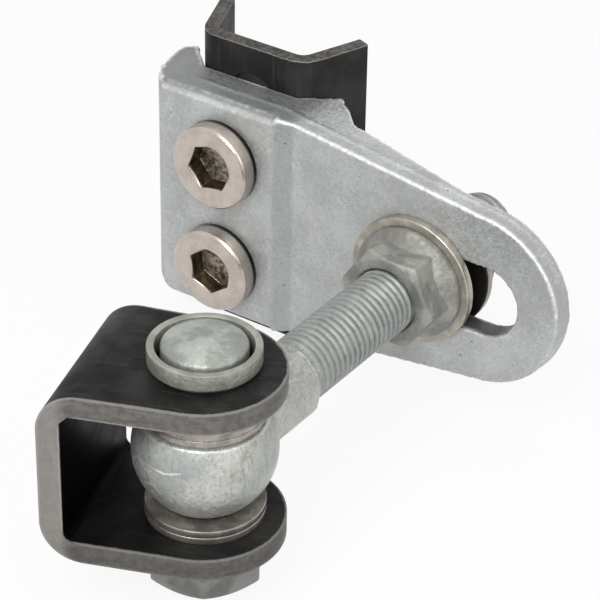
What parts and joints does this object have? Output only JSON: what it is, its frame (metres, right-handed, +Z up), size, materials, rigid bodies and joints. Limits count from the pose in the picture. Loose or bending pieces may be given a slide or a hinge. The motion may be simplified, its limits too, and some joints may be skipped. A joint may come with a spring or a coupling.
{
  "type": "adjustable gate hinge",
  "caption": "Weld-on swing gate hinge: folded U-bracket and pin, ball-eyed threaded bolt, slotted forged plate on a folded channel, adjustable three ways.",
  "frame": {"origin": "centre of the post bracket's flat back face, which is welded to the post", "axes": "+X square off that face towards the pin, +Z up along the pin, +Y completes a right-handed frame; the flanges stand 3.1 degrees askew and the gate side rests turned 16.6 degrees about the pin"},
  "size_m": [0.14, 0.1904, 0.099],
  "materials": {
    "black_steel": "raw hot-rolled steel with dark mill scale and brown-grey cut edges",
    "galvanised": "hot-dip galvanised forging, pale grey, mottled and pitted",
    "zinc_plate": "zinc-plated steel, greenish grey, satin",
    "worn_nut": "zinc-plated nut, scuffed grey",
    "stainless": "turned stainless steel, warm satin"
  },
  "bodies": {
    "post_side": {"post_bracket": "black_steel", "pivot_bolt": "zinc_plate", "guard_ring": "zinc_plate", "pivot_nut": "zinc_plate", "upper_washer_1": "stainless", "upper_washer_2": "stainless", "upper_washer_3": "stainless", "upper_washer_4": "stainless", "lower_washer_1": "stainless", "lower_washer_2": "stainless"},
    "eye_side": {"eyebolt": "galvanised"},
    "clamp": {"front_nut": "worn_nut", "front_washer": "stainless", "rear_washer": "stainless", "rear_nut": "worn_nut"},
    "plate_side": {"gate_plate": "galvanised", "upper_screw": "stainless", "lower_screw": "stainless", "nut_plate": "black_steel"},
    "gate_side": {"gate_channel": "black_steel"}
  },
  "joints": [
    {"name": "swing", "type": "hinge", "parent": "post_side", "child": "eye_side", "pos_m": [0.03779, 0.00305, 0], "axis": [0, 0, 1], "range_deg": [-194, 52]},
    {"name": "depth_adjust", "type": "slide", "parent": "eye_side", "child": "clamp", "axis": [0.2857, 0.9583, 0], "range_m": [-0.041, 0.013]},
    {"name": "side_adjust", "type": "slide", "parent": "clamp", "child": "plate_side", "axis": [0.9583, -0.2857, 0], "range_m": [-0.0235, 0.0065]},
    {"name": "height_adjust", "type": "slide", "parent": "plate_side", "child": "gate_side", "axis": [0, 0, 1], "range_m": [-0.014, 0.012]}
  ]
}
